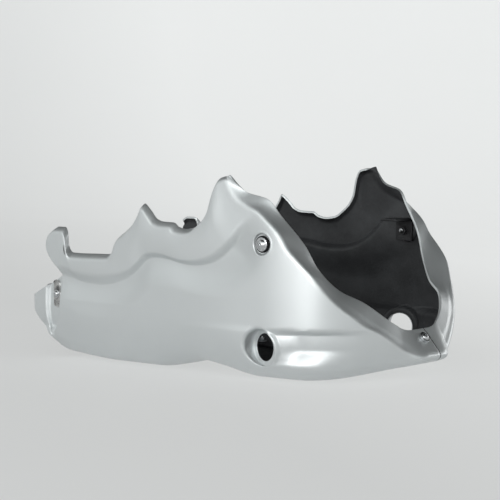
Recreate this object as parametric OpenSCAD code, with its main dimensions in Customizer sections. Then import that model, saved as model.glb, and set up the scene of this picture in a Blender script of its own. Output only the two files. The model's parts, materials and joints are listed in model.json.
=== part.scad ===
// Belly pan for a naked motorcycle: two moulded half shells lapped and screwed along the nose and keel,
// with side and rear fixings on folded steel brackets.
// X runs forward, Y to the left, Z up. The origin is under the middle of the pan, on the ground.

/* [Overall] */
// Length from the tail flange to the nose
pan_length = 592; // [540:2:640]
// Greatest half breadth of the bare hull
half_breadth = 172; // [150:1:190]
// Height where the sides start to turn under
shoulder_z = 85; // [80:1:95]
// Wall of the moulded shells
wall = 3; // [2.4:0.2:3.6]
// Height of the flat keel above the side lobes
keel_raise = 8; // [7:0.5:12]
// Half width of the flat keel and nose strip
strip_half = 14; // [13:0.5:18]

/* [Upper edge] */
// Height of the front peak
peak_z = 266; // [256:1:280]
// Height of the pointed horn between the two cut-outs
horn_z = 225; // [214:1:235]
// Height of the rear tab
tab_z = 186; // [178:1:195]
// Floor of the rear cut-out
rear_cut_z = 151; // [142:1:155]
// Floor of the front cut-out
front_cut_z = 194; // [186:1:200]
// Depth that the rolled upper edge turns in
edge_roll = 8; // [5:0.5:10]
// Fullness of the band between the upper edge and the crease
band_bulge = 3; // [1:0.5:5]

/* [Body] */
// Depth of the crease under the band
crease_in = 8; // [4:0.5:10]
// Depth of the upright channel at the rear
channel_in = 11; // [8:0.5:13]
// Step of the tail flange inside the body
tail_in = 6; // [4:0.5:8]
// Fullness of the swelling behind the duct
blister_out = 2; // [0:0.5:4]

/* [Duct] */
// Position of the duct along the drawn pan
duct_x = 128.5; // [122:0.5:134]
// Height of the duct
duct_z = 45.5; // [43:0.5:47]
// Bore of the duct
duct_bore = 36; // [24:1:38]
// Diameter of the cup around the duct
cup_d = 48; // [44:0.5:50]
// Depth of the middle of the cup floor inside the hull
cup_in = 12; // [8:0.5:13]
// Turn of the cup floor towards the rear, in degrees
cup_turn = 16; // [8:1:18]
// Depth of the groove in front of the cup
groove_in = 15; // [12:0.5:17]
// Height of the groove's upper lip
groove_z = 70; // [69:0.5:73]

/* [Lap joint] */
// Reach of the right half past the middle
lap_over = 9; // [7:0.5:10]
// Reach of the left half's tongue past the middle
tongue = 20; // [18:0.5:24]
// Gap between the right half and the tongue under it
lap_gap = 1.2; // [1:0.1:1.6]
// Gap along the seam of the two halves
seam_gap = 1; // [0.5:0.1:1.5]
// Offset of the lap screws from the middle, to the right
lap_screw_y = 4; // [3:0.5:5]
// Height that a screw seat stands proud of the skin
seat_proud = 0.4; // [0.3:0.1:0.5]
// Position of the rear keel screw along the drawn pan
keel_rear_x = -120; // [-130:1:-100]
// Position of the middle keel screw along the drawn pan
keel_mid_x = 5; // [0:1:10]
// Position of the front keel screw along the drawn pan
keel_front_x = 150; // [140:1:160]

/* [Fasteners] */
// Thread of the nose, side and rear screws
screw_d = 6; // [5:0.5:6]
// Flange diameter of the nose, side and rear screws
flange_d = 18; // [16:0.5:19]
// Height of a button head over its flange
head_h = 3.3; // [2.8:0.1:3.6]
// Thread of the keel screws
keel_screw_d = 5; // [4:0.5:5]
// Clearance around a screw in its hole
hole_gap = 0.4; // [0.2:0.1:0.6]
// Clearance between stacked faces
stack_gap = 0.1; // [0.05:0.05:0.2]
// Thickness of the flat washers
washer_t = 1.2; // [1:0.1:1.6]

/* [Side fixing] */
// Position of the side screws along the drawn pan
side_x = 133; // [126:1:136]
// Height of the side screws
side_z = 180; // [176:1:185]
// Depth of the round dimple
dimple_in = 5; // [4:0.5:6]
// Diameter of the round dimple
dimple_d = 27; // [25:0.5:29]
// Diameter of the rubber grommet
grommet_d = 22; // [20:0.5:24]
// Thickness of each grommet flange
grommet_t = 2.5; // [2:0.1:3]

/* [Rear fixing] */
// Position of the rear screws along the drawn pan
rear_x = -252; // [-254:1:-250]
// Height of the rear screws
rear_z = 91; // [89:1:95]
// Length of the oblong spreader plate
spreader_l = 38; // [30:1:40]
// Width of the oblong spreader plate
spreader_w = 12; // [11:0.5:13]
// Thickness of the spreader plate
spreader_t = 1.5; // [1:0.1:2]

/* [Brackets] */
// Thickness of the folded steel brackets
bracket_t = 3; // [2:0.5:4]
// Width of the brackets
bracket_w = 26; // [22:1:30]
// Height of a bracket above its screw
bracket_rise = 18; // [16:1:24]
// Reach of a bracket towards the engine
bracket_reach = 42; // [36:1:50]
// Bore for the engine bolt
bolt_d = 8.5; // [6.5:0.5:10]

/* [Hidden] */
$fn = 64;

// The lines of the pan are drawn at this length and breadth, then stretched to the driving sizes.
// Positions along the pan are given on the drawn pan and stretch with it.
drawn_length = 592;
drawn_breadth = 172;
stretch = pan_length / drawn_length;
widen = half_breadth / drawn_breadth;
nose = drawn_length / 2;

// Girth coordinate: height above the shoulder, and below it a turn of this length round to the keel
turn = 190;
keel_g = shoulder_z - turn;

function mix(a, b, t) = a + (b - a) * t;
function clamp(a, b, t) = min(b, max(a, t));
function ease(a, b, x) = let (t = clamp(0, 1, (x - a) / (b - a))) t * t * (3 - 2 * t);
function unit(v) = v / max(norm(v), 1e-9);

// Smooth curve through the rows of a table [at, value, value ...] that never swings past its points
function find(P, t, i = 0) = i >= len(P) - 2 || t <= P[i + 1][0] ? i : find(P, t, i + 1);
function chord(P, i, k) = (P[i + 1][k] - P[i][k]) / (P[i + 1][0] - P[i][0]);
function slope(P, i, k) =
    i <= 0 ? chord(P, 0, k) :
    i >= len(P) - 1 ? chord(P, len(P) - 2, k) :
    let (a = chord(P, i - 1, k), b = chord(P, i, k)) a * b <= 0 ? 0 : 2 * a * b / (a + b);
function curve(P, at, k = 1) =
    let (
        t = clamp(P[0][0], P[len(P) - 1][0], at),
        i = find(P, t),
        h = P[i + 1][0] - P[i][0],
        s = (t - P[i][0]) / h
    )
    (1 + 2 * s) * (1 - s) * (1 - s) * P[i][k] + s * (1 - s) * (1 - s) * h * slope(P, i, k)
    + s * s * (3 - 2 * s) * P[i + 1][k] + s * s * (s - 1) * h * slope(P, i + 1, k);

// Plan line: half breadth against length
plan = [[-nose, 147], [-230, 152], [-120, 161], [0, 168], [80, 172], [140, 172], [175, 168.5], [206, 160],
        [223, 143], [244, 119], [262, 89], [276, 64], [285, 44], [292, 29], [nose, 15]];
// Keel line: lowest height against length, with a saddle between the front and rear lobes
low = [[-nose, 12], [-240, 5], [-160, 0], [-80, 0], [-35, 7], [5, 14], [45, 9], [100, 0], [160, 0],
       [195, 3], [230, 9], [262, 16], [nose, 28]];
// Front crest: length against girth, from the keel up to the peak
crest = [[keel_g, nose], [-46, 286], [-21, 281], [3, 275.5], [32, 269], [54, 262], [71, 252.5], [86, 244],
         [99, 233.5], [114, 223], [129.5, 214], [142.5, 206], [163, 186.5], [177, 172], [196.5, 158.5],
         [213, 139], [223, 124], [229, 106], [238, 90], [249.5, 79.5], [peak_z, 66]];
crease_end = [130, 221];
// Mouth edge: share of the way from peak to keel, then length, half breadth and height
mouth = [[0, 78, 168, peak_z], [0.075, 101, 159, 246], [0.15, 131, 152, 237], [0.22, 147, 146, 216.5],
         [0.35, 176, 132, 177], [0.445, 189, 122, 147.5], [0.555, 211, 105, 119.5], [0.66, 238, 88, 104],
         [0.79, 257, 59, 80], [0.865, 262, 40, 70], [1, 264, strip_half, 65]];

// Stations along one side: upper edge length and height, crease length and height, keel length
stations = [
    [4, -261, tab_z - 8, -241, 117, -241],
    [5, -247, tab_z, -232, 117, -232],
    [6, -234, tab_z, -224, 116, -222],
    [7, -228, tab_z - 9, -216, 115, -213],
    [8, -226, rear_cut_z + 10, -209, 113.5, -205],
    [9, -217, rear_cut_z, -201, 112, -196],
    [10, -200, rear_cut_z, -188, 110.5, -182],
    [11, -170, rear_cut_z + 1, -165, 109.7, -155],
    [12, -144, rear_cut_z + 2, -140, 112, -125],
    [13, -134, rear_cut_z + 10, -128, 114.8, -110],
    [14, -128, rear_cut_z + 24, -119, 117.5, -98],
    [15, -112.5, rear_cut_z + 35, -107, 122, -80],
    [16, -95, horn_z - 25, -95, 129, -62],
    [17, -85, horn_z - 11, -86, 136.5, -48],
    [18, -78, horn_z, -78, 143.5, -36],
    [19, -66, horn_z - 9, -69, 150, -22],
    [20, -54, front_cut_z + 11, -58, 152.5, -8],
    [21, -43, front_cut_z + 8, -48, 152.8, 6],
    [22, -24, front_cut_z + 7.5, -31, 151.5, 28],
    [23, -14, front_cut_z + 2, -20, 149.5, 44],
    [24, -2, front_cut_z, -5, 147, 64],
    [25, 12, front_cut_z + 2, 12, 146, 88],
    [26, 26, front_cut_z + 11, 28, 147, 112],
    [27, 36.5, front_cut_z + 21, 47, 151, 138],
    [28, 43.5, peak_z - 38, 62, 157.5, 162],
    [29, 46.5, peak_z - 25, 76, 167, 186],
    [30, 50, peak_z - 13.5, 90, 179, 212],
    [31, 56, peak_z - 3.5, 106, 198, 244],
    [32, 66, peak_z, crease_end[0], crease_end[1], nose]];
// Tail: height of its upper edge at stations 0 to 4
tail_top = [[0, 88], [1, 96], [2, 105], [3, 114], [4, 117]];
// Tail by girth: length of the flange's rear edge, of the channel's rear side and of the body's rear edge
tail = [[keel_g, -236, -231, -226], [0, -255, -250, -244], [28, -270, -264, -256],
        [42, -279, -266.5, -250], [55, -288, -266.5, -243], [73, -nose, -266.5, -238],
        [98, -nose, -265.5, -237], [117, -nose, -254, -241]];
// The upright channel lies between stations 2 and 4, and the body proper runs from there to the front crest
body_start = 4;
body_end = 32;
// Station where the body no longer leans with the tail
lean_end = 9;

// Turn at which the side lobes touch the ground
lobe_turn = 72;
// Share by which the round section has sharpened towards the nose
sharp_start = nose - 101;
front_end = nose - 34;
function sharp(x) = ease(sharp_start, front_end, x);
function low_z(x) = curve(low, x);
// The raised keel fades out over this length at both ends
raise_run = 96;
function keel_z(x) =
    low_z(x) + keel_raise * ease(-nose, raise_run - nose, x) * (1 - ease(nose - raise_run, nose - 6, x));
function hull_turn(x, phi) =
    let (
        b = curve(plan, x) * widen,
        z0 = low_z(x),
        lobe = mix(lobe_turn, 90, sharp(x))
    )
    [x, strip_half + (b - strip_half) * pow(max(0, cos(phi)), mix(0.48, 0.667, sharp(x))),
     shoulder_z - (shoulder_z - z0) * pow(sin(min(90, phi * 90 / lobe)), mix(0.72, 0.909, sharp(x)))
     + (keel_z(x) - z0) * ease(lobe_turn, 90, phi)];
// Bare hull at length x and girth g: [length, half breadth, height]
side_lean = 5;
function bare(x, g) =
    g >= shoulder_z ? [x, curve(plan, x) * widen - side_lean * pow((g - shoulder_z) / 180, 2), g]
                    : hull_turn(x, clamp(0, 90, (shoulder_z - g) / turn * 90));

// Direction out of the bare hull in its cross-section
function outward(x, g) =
    let (a = bare(x, g - 0.5), b = bare(x, g + 0.5)) unit([0, b[2] - a[2], a[1] - b[1]]);

// Height of the upper boundary of the body at station p: the tail's edge, then the crease
function upper(p) = p < body_start ? curve(tail_top, p) : curve(stations, p, 4);
// Length at station p of the tail and girth g, then the lean that the body takes over from it
function tail_x(p, g) =
    p < 2 ? mix(curve(tail, g, 1), curve(tail, g, 2), p / 2)
          : mix(curve(tail, g, 2), curve(tail, g, 3), p / 2 - 1);
function lean(p, g) = (curve(tail, g, 3) - stations[0][5]) * (1 - ease(body_start, lean_end, p));

// Share by which the front crest pulls the stations forward
function pull(p) = ease(14, body_end, p);

// Length and girth at station p: w runs from 0 at the crease past 1 at the groove lip to 2 at the keel
function body_at(p, w) =
    let (
        top = upper(p),
        g = w < 1 ? mix(top, groove_z, w) : mix(groove_z, keel_g, w - 1),
        g_crest = w < 1 ? mix(crease_end[1], groove_z, w) : g,
        f = (top - g) / (top - keel_g),
        f_crest = (crease_end[1] - g_crest) / (crease_end[1] - keel_g)
    )
    p < body_start ? [tail_x(p, g), g]
                   : [mix(curve(stations, p, 3), curve(stations, p, 5), f) + lean(p, g)
                      + pull(p) * (curve(crest, g_crest) - mix(crease_end[0], nose, f_crest)), g];

// Length and height in the band: v runs from 0 at the upper edge to 1 at the crease
function band_at(p, v) =
    let (
        t = [curve(stations, p, 1), curve(stations, p, 2)],
        c = [curve(stations, p, 3), curve(stations, p, 4)],
        back = 14 * (1 - ease(4, 6.5, p)) * sin(180 * min(1, v * 1.25))
    )
    [mix(t[0], c[0], v) - back + pull(p) * (curve(crest, mix(peak_z, crease_end[1], v))
     - mix(stations[len(stations) - 1][1], crease_end[0], v)), mix(t[1], c[1], v)];

// How far the skin stands off the bare hull
function fade(p) = 1 - ease(29.5, body_end, p);
// The groove drops off the cup's lip, opens and runs out over these lengths, and rises from its foot
lip_w = 2;
lip_share = 0.35;
lip_drop = 4;
groove_open = 28;
groove_run = 57;
groove_foot = 21;
groove_rise = 36;
function groove(x, z) =
    let (off_lip = norm([x - duct_x, z - duct_z]) - cup_d / 2 - lip_w)
    -groove_in * mix(ease(0, groove_open, off_lip), ease(0, lip_drop, off_lip), lip_share)
    * ease(duct_x - 4, duct_x + 12, x) * (1 - ease(front_end - groove_run, front_end, x))
    * clamp(0, 1, (groove_z - z) / 5) * clamp(0, 1, (z - groove_foot) / groove_rise);
function blister(x, z) =
    blister_out * ease(-20, duct_x - 30, x) * (1 - ease(duct_x - 12, duct_x, x))
    * ease(duct_z - 27, duct_z, z) * (1 - ease(groove_z - 9, groove_z + 7, z));
function crease(p, g) = -crease_in * (1 - ease(0, 40, upper(p) - g)) * fade(p);
// The tail's step and channel run out towards their foot
channel_foot = 20;
channel_full = 50;
function body_off(p, x, g) =
    let (z = bare(x, g)[2])
    p < body_start
        ? mix(-mix(tail_in, channel_in, ease(1.3, 2, p)) * ease(channel_foot, channel_full, g),
              crease(body_start, g), ease(3.5, 3.95, p))
        : crease(p, g) + groove(x, z) + blister(x, z);
function band_off(p, v) =
    let (
        along = curve(stations, p, 1) - curve(stations, p, 3),
        h = norm([along, curve(stations, p, 2) - curve(stations, p, 4)]),
        swell = v > 0 && v < 1 ? band_bulge * pow(sin(180 * v), 0.7) * fade(p) : 0
    )
    swell - edge_roll * pow(max(0, 1 - v * h / 10), 2) - crease_in * (1 - ease(0, 7, (1 - v) * h)) * fade(p);

function body_point(p, w) =
    let (a = body_at(p, w)) bare(a[0], a[1]) + body_off(p, a[0], a[1]) * outward(a[0], a[1]);
function band_point(p, v) =
    let (a = band_at(p, v)) bare(a[0], a[1]) + band_off(p, v) * outward(a[0], a[1]);

// Grid of the skin: columns along the pan and down the front flange, rows from the upper edge to the keel
cols = [0, 0.7, 1.35, 1.6, 1.9, 2.4, 2.9, 3.5, 3.72, 3.95, 4.3,
        for (p = [5:1:23]) p, for (p = [24:0.5:31.5]) p, 31.8, 32];
flange = [0.09, 0.25, 0.5, 0.75, 1];
band_rows = [0, 0.04, 0.09, 0.16, 0.34, 0.54, 0.72, 0.84, 0.93];
body_rows = [0, 0.03, 0.08, 0.16, 0.28, 0.42, 0.58, 0.75, 0.9, 1,
             1.04, 1.1, 1.2, 1.27, 1.33, 1.41, 1.5, 1.6, 1.7, 1.783, 1.89, 2];
first_band = search(4.3, cols)[0];
last_body = len(cols) - 1;
last_col = last_body + len(flange);
crease_row = len(band_rows);
keel_row = crease_row + len(body_rows) - 1;

function side_point(i, j) =
    j < crease_row ? band_point(cols[i], band_rows[j]) : body_point(cols[i], body_rows[j - crease_row]);
// The front crest and how far along it each row lies
crest_line = [for (j = [0:keel_row]) side_point(last_body, j)];
function run(L, j) = j == 0 ? 0 : norm(L[j] - L[j - 1]) + run(L, j - 1);
crest_run = [for (j = [0:keel_row]) run(crest_line, j)];
function mouth_point(j) =
    let (s = crest_run[j] / crest_run[keel_row]) [curve(mouth, s, 1), curve(mouth, s, 2), curve(mouth, s, 3)];
function skin_point(i, j) =
    i <= last_body ? side_point(i, j) : mix(crest_line[j], mouth_point(j), flange[i - last_body - 1]);

// Bare grid of one half in its own side's frame, rows first; strip rows carry it across the middle
half_grid = [for (j = [0:keel_row]) [for (i = [0:last_col])
    j < crease_row && i < first_band ? undef : skin_point(i, j)]];
function with_strip(ys) = concat(half_grid,
    [for (y = ys) [for (p = half_grid[keel_row]) [p[0], y, p[2]]]]);

// Bisecting normal and the mitre that keeps the wall's thickness at a fold
function there(G, i, j) = i >= 0 && j >= 0 && j < len(G) && i < len(G[0]) && !is_undef(G[j][i]);
function step_in(G, i, j, di, dj) = there(G, i - di, j - dj) ? unit(G[j][i] - G[j - dj][i - di]) : undef;
function fold(a, b) = is_undef(a) ? [b, 1] : is_undef(b) ? [a, 1] : [unit(a + b), max(0.6, norm(a + b) / 2)];
function skin_normal(G, i, j) =
    let (
        u = fold(step_in(G, i, j, 1, 0), there(G, i + 1, j) ? unit(G[j][i + 1] - G[j][i]) : undef),
        w = fold(step_in(G, i, j, 0, 1), there(G, i, j + 1) ? unit(G[j + 1][i] - G[j][i]) : undef)
    )
    unit(cross(u[0], w[0])) / (u[1] * w[1]);

// Closed shell on a grid: outer skin, inner skin and the rims, stepped in by drop[j] on the rows past the keel
module skin(G, drop) {
    rows = len(G);
    wide = last_col + 1;
    upper_wide = wide - first_band;
    half_count = crease_row * upper_wide + (rows - crease_row) * wide;
    function id(i, j) = j < crease_row ? j * upper_wide + i - first_band
                                       : crease_row * upper_wide + (j - crease_row) * wide + i;
    function cell(i, j) =
        i >= 0 && j >= 0 && i < wide - 1 && j < rows - 1 && (j >= crease_row || i >= first_band);
    spots = [for (j = [0:rows - 1]) for (i = [j < crease_row ? first_band : 0:wide - 1]) [i, j]];
    normals = [for (s = spots) skin_normal(G, s[0], s[1])];
    outer = [for (k = [0:len(spots) - 1]) G[spots[k][1]][spots[k][0]] - drop[spots[k][1]] * normals[k]];
    inner = [for (k = [0:len(spots) - 1]) outer[k] - wall * normals[k]];
    cells = [for (j = [0:rows - 2]) for (i = [0:wide - 2]) if (cell(i, j)) [i, j]];
    polyhedron(
        points = concat(outer, inner),
        faces = [for (c = cells) let (
                i = c[0], j = c[1],
                a = id(i, j), b = id(i + 1, j), d = id(i + 1, j + 1), e = id(i, j + 1), n = half_count
            ) each concat(
                [[a, d, b], [a, e, d], [a + n, b + n, d + n], [a + n, d + n, e + n]],
                cell(i, j - 1) ? [] : [[a, b + n, a + n], [a, b, b + n]],
                cell(i, j + 1) ? [] : [[e, d + n, d], [e, e + n, d + n]],
                cell(i - 1, j) ? [] : [[a, e + n, e], [a, a + n, e + n]],
                cell(i + 1, j) ? [] : [[b, d + n, b + n], [b, d, d + n]]
            )],
        convexity = 10);
}

right_grid = with_strip([-lap_over]);
left_grid = with_strip([lap_over + 2 * seam_gap, lap_over + seam_gap, -tongue]);
function drops(extra) = concat([for (j = [0:keel_row]) 0], extra);
tongue_drop = wall + lap_gap;

// Places of the fixings, outward along local +Z
nose_low = crest_line[keel_row];
nose_high = mouth_point(keel_row);
// Share of the way up the nose strip where its screw sits
nose_share = 0.7;
nose_screw = mix(nose_low, nose_high, nose_share);
nose_tilt = atan2(nose_high[2] - nose_low[2], nose_low[0] - nose_high[0]);
module at_nose()
    translate([nose_screw[0] * stretch, -lap_screw_y, nose_screw[2]]) rotate([0, nose_tilt, 0]) children();
module at_keel(x) translate([x * stretch, -lap_screw_y, keel_z(x)]) rotate([180, 0, 0]) children();
keel_xs = [keel_rear_x, keel_mid_x, keel_front_x];
module at_side(s)
    translate([side_x * stretch, s * bare(side_x, side_z)[1], side_z]) rotate([-90 * s, 0, 0]) children();
module at_rear(s) translate([rear_x * stretch, s * (bare(rear_x, rear_z)[1] - channel_in), rear_z])
    rotate([-90 * s, 0, 0]) children();
module both() for (s = [-1, 1]) let ($side = s) children();

// Screw seats: a flat disc through the skin, proud on both faces
seat_r = 9;
seat_rim = 1;
module seat_hole(depth) translate([0, 0, -depth - wall - 2]) cylinder(r = seat_r, h = wall + 4);
module seat(depth, bore) difference() {
    translate([0, 0, -depth - wall - seat_proud]) cylinder(r = seat_r + seat_rim, h = wall + 2 * seat_proud);
    translate([0, 0, -depth - wall - 2]) cylinder(d = bore, h = wall + 4);
}
nose_bore = screw_d + 2 * hole_gap;
keel_bore = keel_screw_d + 2 * hole_gap;

// Oblong flat pad along local Y
module oblong(length, width, h) {
    for (e = [-1, 1]) translate([0, e * (length - width) / 2, 0]) cylinder(d = width, h = h);
    translate([-width / 2, -(length - width) / 2, 0]) cube([width, length - width, h]);
}

// Duct cup of one half in its own side's frame: local Y runs out from the middle of the cup floor
// Depth of the cup's rim under the bare hull, and how far in its trimming block is filled
rim_in = 0.4;
trim_y = 100;
module at_duct() translate([duct_x * stretch, bare(duct_x, duct_z)[1] - cup_in, duct_z]) children();
module across(d, h) rotate([90, 0, 0]) cylinder(d = d, h = h, center = true);
// Everything out from the turned cup floor, or from a face sunk behind it
module out_of_floor(sink) rotate([0, 0, cup_turn]) translate([-cup_d, -sink, -cup_d]) cube(2 * cup_d);
// The hull's section at the duct, filled towards the middle
module hull_block() translate([duct_x * stretch - cup_d, 0, 0]) rotate([90, 0, 90]) linear_extrude(2 * cup_d)
    polygon(concat([for (g = [shoulder_z:-4:-16]) let (p = bare(duct_x, g)) [p[1] - rim_in, p[2]]],
                   [[trim_y, 0], [trim_y, shoulder_z]]));
module cup_body() intersection() {
    at_duct() intersection() {
        across(cup_d + 2 * lip_w, 2 * cup_d);
        out_of_floor(wall);
    }
    hull_block();
}
module cup_cut() at_duct() {
    intersection() {
        across(cup_d, 2 * cup_d);
        out_of_floor(0);
    }
    rotate([0, 0, cup_turn]) across(duct_bore, 4 * wall);
}

// Side dimple in the frame of at_side
grommet_hole = 16.4;
dimple_wall = 3;
dimple_below = 0.8;
module dimple_body() translate([0, 0, -dimple_in - wall])
    cylinder(d = dimple_d + 2 * dimple_wall, h = dimple_in + wall - dimple_below);
module dimple_cut() {
    translate([0, 0, -dimple_in]) cylinder(d = dimple_d, h = 4 * dimple_in);
    translate([0, 0, -dimple_in - 2 * wall]) cylinder(d = grommet_hole, h = 3 * wall);
}

// Rear seat in the frame of at_rear
module rear_seat() translate([0, 0, -wall - seat_proud])
    oblong(spreader_l + 4, spreader_w + 4, wall + 2 * seat_proud);
module rear_hole() translate([0, 0, -2 * wall]) oblong(spreader_l + 2, spreader_w + 2, 4 * wall);
module rear_bore() translate([0, 0, -2 * wall]) cylinder(d = nose_bore, h = 4 * wall);

module on_side(s) mirror([0, s < 0 ? 1 : 0, 0]) children();
module half_shell(s) {
    difference() {
        union() {
            difference() {
                union() {
                    on_side(s) children();
                    on_side(s) cup_body();
                    at_side(s) dimple_body();
                }
                on_side(s) cup_cut();
                at_side(s) dimple_cut();
                at_rear(s) rear_hole();
                at_nose() seat_hole(s < 0 ? 0 : tongue_drop);
                for (x = keel_xs) at_keel(x) seat_hole(s < 0 ? 0 : tongue_drop);
            }
            at_rear(s) rear_seat();
        }
        at_rear(s) rear_bore();
    }
    at_nose() seat(s < 0 ? 0 : tongue_drop, nose_bore);
    for (x = keel_xs) at_keel(x) seat(s < 0 ? 0 : tongue_drop, keel_bore);
}

// Lengthwise stretch of the drawn grid
function stretched(G) = [for (row = G) [for (p = row) is_undef(p) ? undef : [p[0] * stretch, p[1], p[2]]]];

module right_shell() color("silver") half_shell(-1) skin(stretched(right_grid), drops([0]));
module left_shell() color("lightsteelblue")
    half_shell(1) skin(stretched(left_grid), drops([0, tongue_drop, tongue_drop]));

// Button screw with a flange, hex socket in the head, shank down local -Z
flange_t = 1.5;
dome_share = 0.36;
dome_r_share = 0.42;
socket_share = 0.62;
socket_d_share = 0.77;
module button_screw(d, flange, h, length) {
    dome_r = flange * dome_r_share;
    difference() {
        union() {
            cylinder(d = flange, h = flange_t);
            rotate_extrude() intersection() {
                translate([0, flange_t + h - dome_r]) circle(r = dome_r);
                translate([0, flange_t / 2]) square([flange * dome_share, h + flange_t]);
            }
        }
        translate([0, 0, flange_t + h * (1 - socket_share)]) cylinder(d = d * socket_d_share, h = h, $fn = 6);
    }
    translate([0, 0, -length]) cylinder(d = d, h = length + flange_t / 2);
}
module hex_nut(d, bore, h) difference() {
    cylinder(d = d / cos(30), h = h, $fn = 6);
    translate([0, 0, -1]) cylinder(d = bore, h = h + 2);
}
module washer(outer, bore, t) difference() {
    cylinder(d = outer, h = t);
    translate([0, 0, -1]) cylinder(d = bore, h = t + 2);
}

// Stack of a lap joint, out along local +Z from the skin of the right half
washer_top = seat_proud + stack_gap + washer_t;
back_face = -tongue_drop - wall - seat_proud - stack_gap;
nut_face = back_face - washer_t - stack_gap;
nut_af = 10;
nut_h = 5;
keel_nut_af = 8;
keel_nut_h = 4;
thread_gap = 0.1;
thread_end = 2;
lap_flange_d = min(flange_d, 2 * seat_r - 3);
keel_flange_d = 11;
keel_head_h = 2;
lap_washer_d = 2 * seat_r - 2;
module lap_ring(d) washer(lap_washer_d, d + 2 * hole_gap, washer_t);
module stack_washer(d) translate([0, 0, seat_proud + stack_gap]) lap_ring(d);
module stack_back(d) translate([0, 0, back_face - washer_t]) lap_ring(d);

lap_grip = washer_top + stack_gap - nut_face;
module lap_screw() color("gainsboro") at_nose() translate([0, 0, washer_top + stack_gap])
    button_screw(screw_d, lap_flange_d, head_h, lap_grip + nut_h + thread_end);
module lap_washer() color("silver") at_nose() stack_washer(screw_d);
module lap_backing_washer() color("silver") at_nose() stack_back(screw_d);
module lap_nut() color("gray") at_nose()
    translate([0, 0, nut_face - nut_h]) hex_nut(nut_af, screw_d + 2 * thread_gap, nut_h);

module keel_screws() color("gray") for (x = keel_xs) at_keel(x) translate([0, 0, washer_top + stack_gap])
    button_screw(keel_screw_d, keel_flange_d, keel_head_h, lap_grip + keel_nut_h + thread_end);
module keel_washers() color("silver") for (x = keel_xs) at_keel(x) stack_washer(keel_screw_d);
module keel_backing_washers() color("silver") for (x = keel_xs) at_keel(x) stack_back(keel_screw_d);
module keel_nuts() color("gray") for (x = keel_xs) at_keel(x)
    translate([0, 0, nut_face - keel_nut_h]) hex_nut(keel_nut_af, keel_screw_d + 2 * thread_gap, keel_nut_h);

// Side fixing, out along local +Z from the side face
sleeve_d = 9.2;
grommet_top = -dimple_in + stack_gap + grommet_t;
grommet_foot = -dimple_in - wall - stack_gap - grommet_t;
side_bracket_face = grommet_foot - stack_gap;
grommet_h = grommet_top - grommet_foot;
neck_gap = 0.2;
side_grip = grommet_top + stack_gap - side_bracket_face + bracket_t;
module side_screws() color("gainsboro") both() at_side($side) translate([0, 0, grommet_top + stack_gap])
    button_screw(screw_d, flange_d, head_h, side_grip + nut_h + thread_end);
module side_grommets() color("black") both() at_side($side) translate([0, 0, grommet_foot]) difference() {
    union() {
        cylinder(d = grommet_d, h = grommet_t);
        translate([0, 0, 1]) cylinder(d = grommet_hole - 2 * neck_gap, h = grommet_h - 2);
        translate([0, 0, grommet_h - grommet_t]) cylinder(d = grommet_d, h = grommet_t);
    }
    translate([0, 0, -1]) cylinder(d = sleeve_d + 2 * stack_gap, h = grommet_h + 2);
}
module side_sleeves() color("silver") both() at_side($side) translate([0, 0, grommet_foot])
    washer(sleeve_d, screw_d + hole_gap, grommet_h);

// Rear fixing, out along local +Z from the channel floor
spreader_top = seat_proud + stack_gap + spreader_t;
rear_bracket_face = -wall - seat_proud - stack_gap;
rear_grip = spreader_top + stack_gap - rear_bracket_face + bracket_t;
module rear_screws() color("gainsboro") both() at_rear($side) translate([0, 0, spreader_top + stack_gap])
    button_screw(screw_d, spreader_w - 1, head_h, rear_grip + nut_h + thread_end);
module rear_spreaders() color("silver") both() at_rear($side) difference() {
    translate([0, 0, seat_proud + stack_gap]) oblong(spreader_l, spreader_w, spreader_t);
    cylinder(d = screw_d + hole_gap, h = 3 * spreader_t);
}

// Folded bracket: plate behind the skin, then a shelf towards the engine with a bolt hole.
// Local +Z points out of the pan; up is local +Y on the right side and -Y on the left.
bend_r = 3;
bracket_drop = 14;
module folded(foot, up) {
    difference() {
        translate([-bracket_w / 2, 0, 0]) rotate([90, 0, 90]) linear_extrude(bracket_w) union() {
            translate([min(-up * bracket_drop, up * (bracket_rise - bend_r - bracket_t)), foot - bracket_t])
                square([bracket_drop + bracket_rise - bend_r - bracket_t, bracket_t]);
            translate([min(up * bracket_rise, up * (bracket_rise - bracket_t)), foot - bracket_reach])
                square([bracket_t, bracket_reach - bend_r - bracket_t]);
            translate([up * (bracket_rise - bend_r - bracket_t), foot - bend_r - bracket_t]) intersection() {
                difference() {
                    circle(r = bend_r + bracket_t);
                    circle(r = bend_r);
                }
                translate([min(0, up * bracket_rise), 0]) square(bracket_rise);
            }
        }
        translate([0, 0, foot - 2 * bracket_t]) cylinder(d = screw_d + 2 * hole_gap, h = 3 * bracket_t);
        translate([0, 0, foot - bracket_reach + bracket_w / 2]) rotate([90, 0, 0])
            translate([0, 0, -2 * bracket_rise]) cylinder(d = bolt_d, h = 4 * bracket_rise);
    }
}
module weld_nut(face) translate([0, 0, face - bracket_t - stack_gap - nut_h])
    hex_nut(nut_af, screw_d + 2 * thread_gap, nut_h);
module side_weld_nuts() color("gray") both() at_side($side) weld_nut(side_bracket_face);
module rear_weld_nuts() color("gray") both() at_rear($side) weld_nut(rear_bracket_face);
module side_bracket_right() color("dimgray") at_side(-1) folded(side_bracket_face, 1);
module side_bracket_left() color("dimgray") at_side(1) folded(side_bracket_face, -1);
module rear_bracket_right() color("dimgray") at_rear(-1) folded(rear_bracket_face, 1);
module rear_bracket_left() color("dimgray") at_rear(1) folded(rear_bracket_face, -1);

right_shell();
left_shell();
lap_screw();
lap_washer();
lap_backing_washer();
lap_nut();
keel_screws();
keel_washers();
keel_backing_washers();
keel_nuts();
side_screws();
side_grommets();
side_sleeves();
side_weld_nuts();
side_bracket_right();
side_bracket_left();
rear_screws();
rear_spreaders();
rear_weld_nuts();
rear_bracket_right();
rear_bracket_left();
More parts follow.
